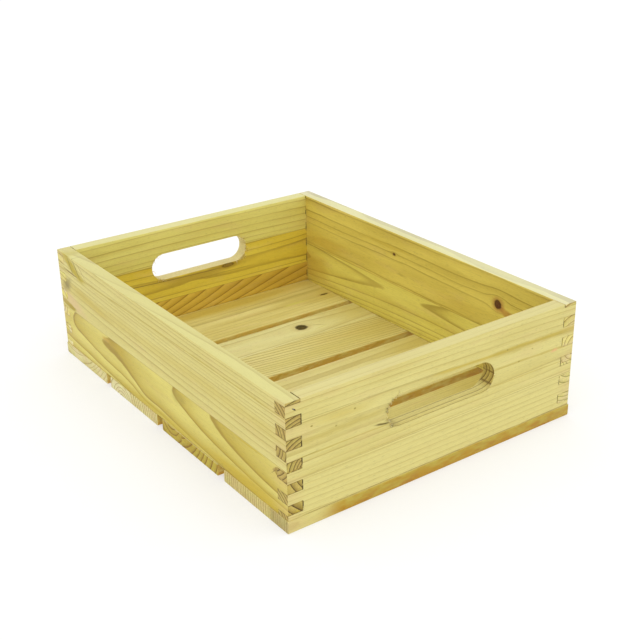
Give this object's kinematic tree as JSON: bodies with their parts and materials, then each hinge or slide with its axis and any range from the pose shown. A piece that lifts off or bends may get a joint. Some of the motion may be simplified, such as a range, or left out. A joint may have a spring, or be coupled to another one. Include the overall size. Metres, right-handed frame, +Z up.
{
  "type": "wooden apple crate",
  "caption": "Shallow open crate of finger-jointed pine boards with a hand slot in each end board and a slatted floor, for picking, carrying and storing fruit.",
  "frame": {"origin": "centre of the crate's footprint, on the surface it stands on", "axes": "+X along the slotted end boards, +Y along the plain side boards from front to back, +Z up"},
  "size_m": [0.409, 0.537, 0.15],
  "materials": {
    "pine_board": "planed, unfinished",
    "pine_slat": "planed, unfinished",
    "nail_steel": "bright drawn wire, slightly dulled"
  },
  "bodies": {
    "root": {"left_side_lower_stave": "pine_board", "left_side_upper_stave": "pine_board", "right_side_lower_stave": "pine_board", "right_side_upper_stave": "pine_board", "front_board_lower_stave": "pine_board", "front_board_upper_stave": "pine_board", "back_board_lower_stave": "pine_board", "back_board_middle_stave": "pine_board", "back_board_upper_stave": "pine_board", "slat_1_front_stave": "pine_slat", "slat_1_back_stave": "pine_slat", "slat_2_front_stave": "pine_slat", "slat_2_back_stave": "pine_slat", "slat_3_front_stave": "pine_slat", "slat_3_back_stave": "pine_slat", "slat_4": "pine_slat", "slat_nails": "nail_steel", "corner_brads": "nail_steel"}
  },
  "joints": []
}
